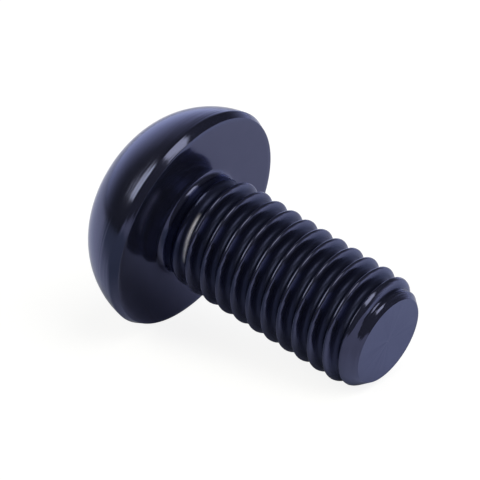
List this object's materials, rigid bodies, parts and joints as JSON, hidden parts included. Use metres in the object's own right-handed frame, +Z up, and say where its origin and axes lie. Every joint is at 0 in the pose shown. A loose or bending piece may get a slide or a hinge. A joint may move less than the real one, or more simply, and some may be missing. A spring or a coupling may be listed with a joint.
{
  "type": "disc brake rotor bolt",
  "caption": "Button head screw with a domed head, flat bearing face, six-lobe socket and right-hand thread, for fixing a bicycle's brake rotor to its hub.",
  "frame": {"origin": "middle of the footprint, on the flat surface that the bolt lies on", "axes": "+Z up. +X runs level from the head to the thread's tip: the bolt's own axis lies in the XZ plane and dips 14 degrees below +X, because the wide head's rim and the thread's last turns both touch the surface. +Y completes the right-handed frame"},
  "size_m": [0.0142, 0.0098, 0.0095],
  "materials": {
    "black_coated_steel": "glossy black coating with a blue tint, over steel"
  },
  "bodies": {
    "root": {"bolt": "black_coated_steel"}
  },
  "joints": []
}
